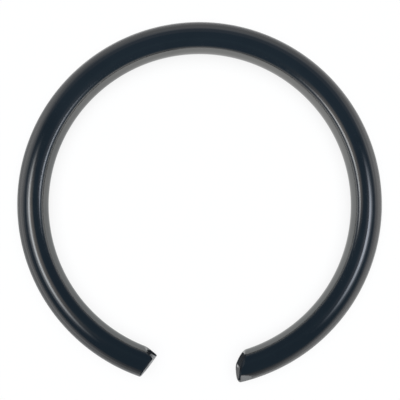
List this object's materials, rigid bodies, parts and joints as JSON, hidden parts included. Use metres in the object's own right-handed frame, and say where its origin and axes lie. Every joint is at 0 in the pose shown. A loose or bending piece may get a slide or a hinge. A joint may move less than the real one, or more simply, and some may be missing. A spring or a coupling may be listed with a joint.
{
  "type": "snap ring",
  "caption": "Open snap ring of round spring-steel wire, blued, with a wide gap between two sheared ends; locks a part in matching half-round grooves.",
  "frame": {"origin": "on the ring's axis, halfway up the wire", "axes": "+Z along the ring's axis, with the gap between the ends centred on -Y and the slanted, pinched end on the -X side of the gap"},
  "size_m": [0.0242, 0.0238, 0.002],
  "materials": {
    "blued_steel": "satin"
  },
  "bodies": {
    "root": {"snap_ring": "blued_steel"}
  },
  "joints": []
}
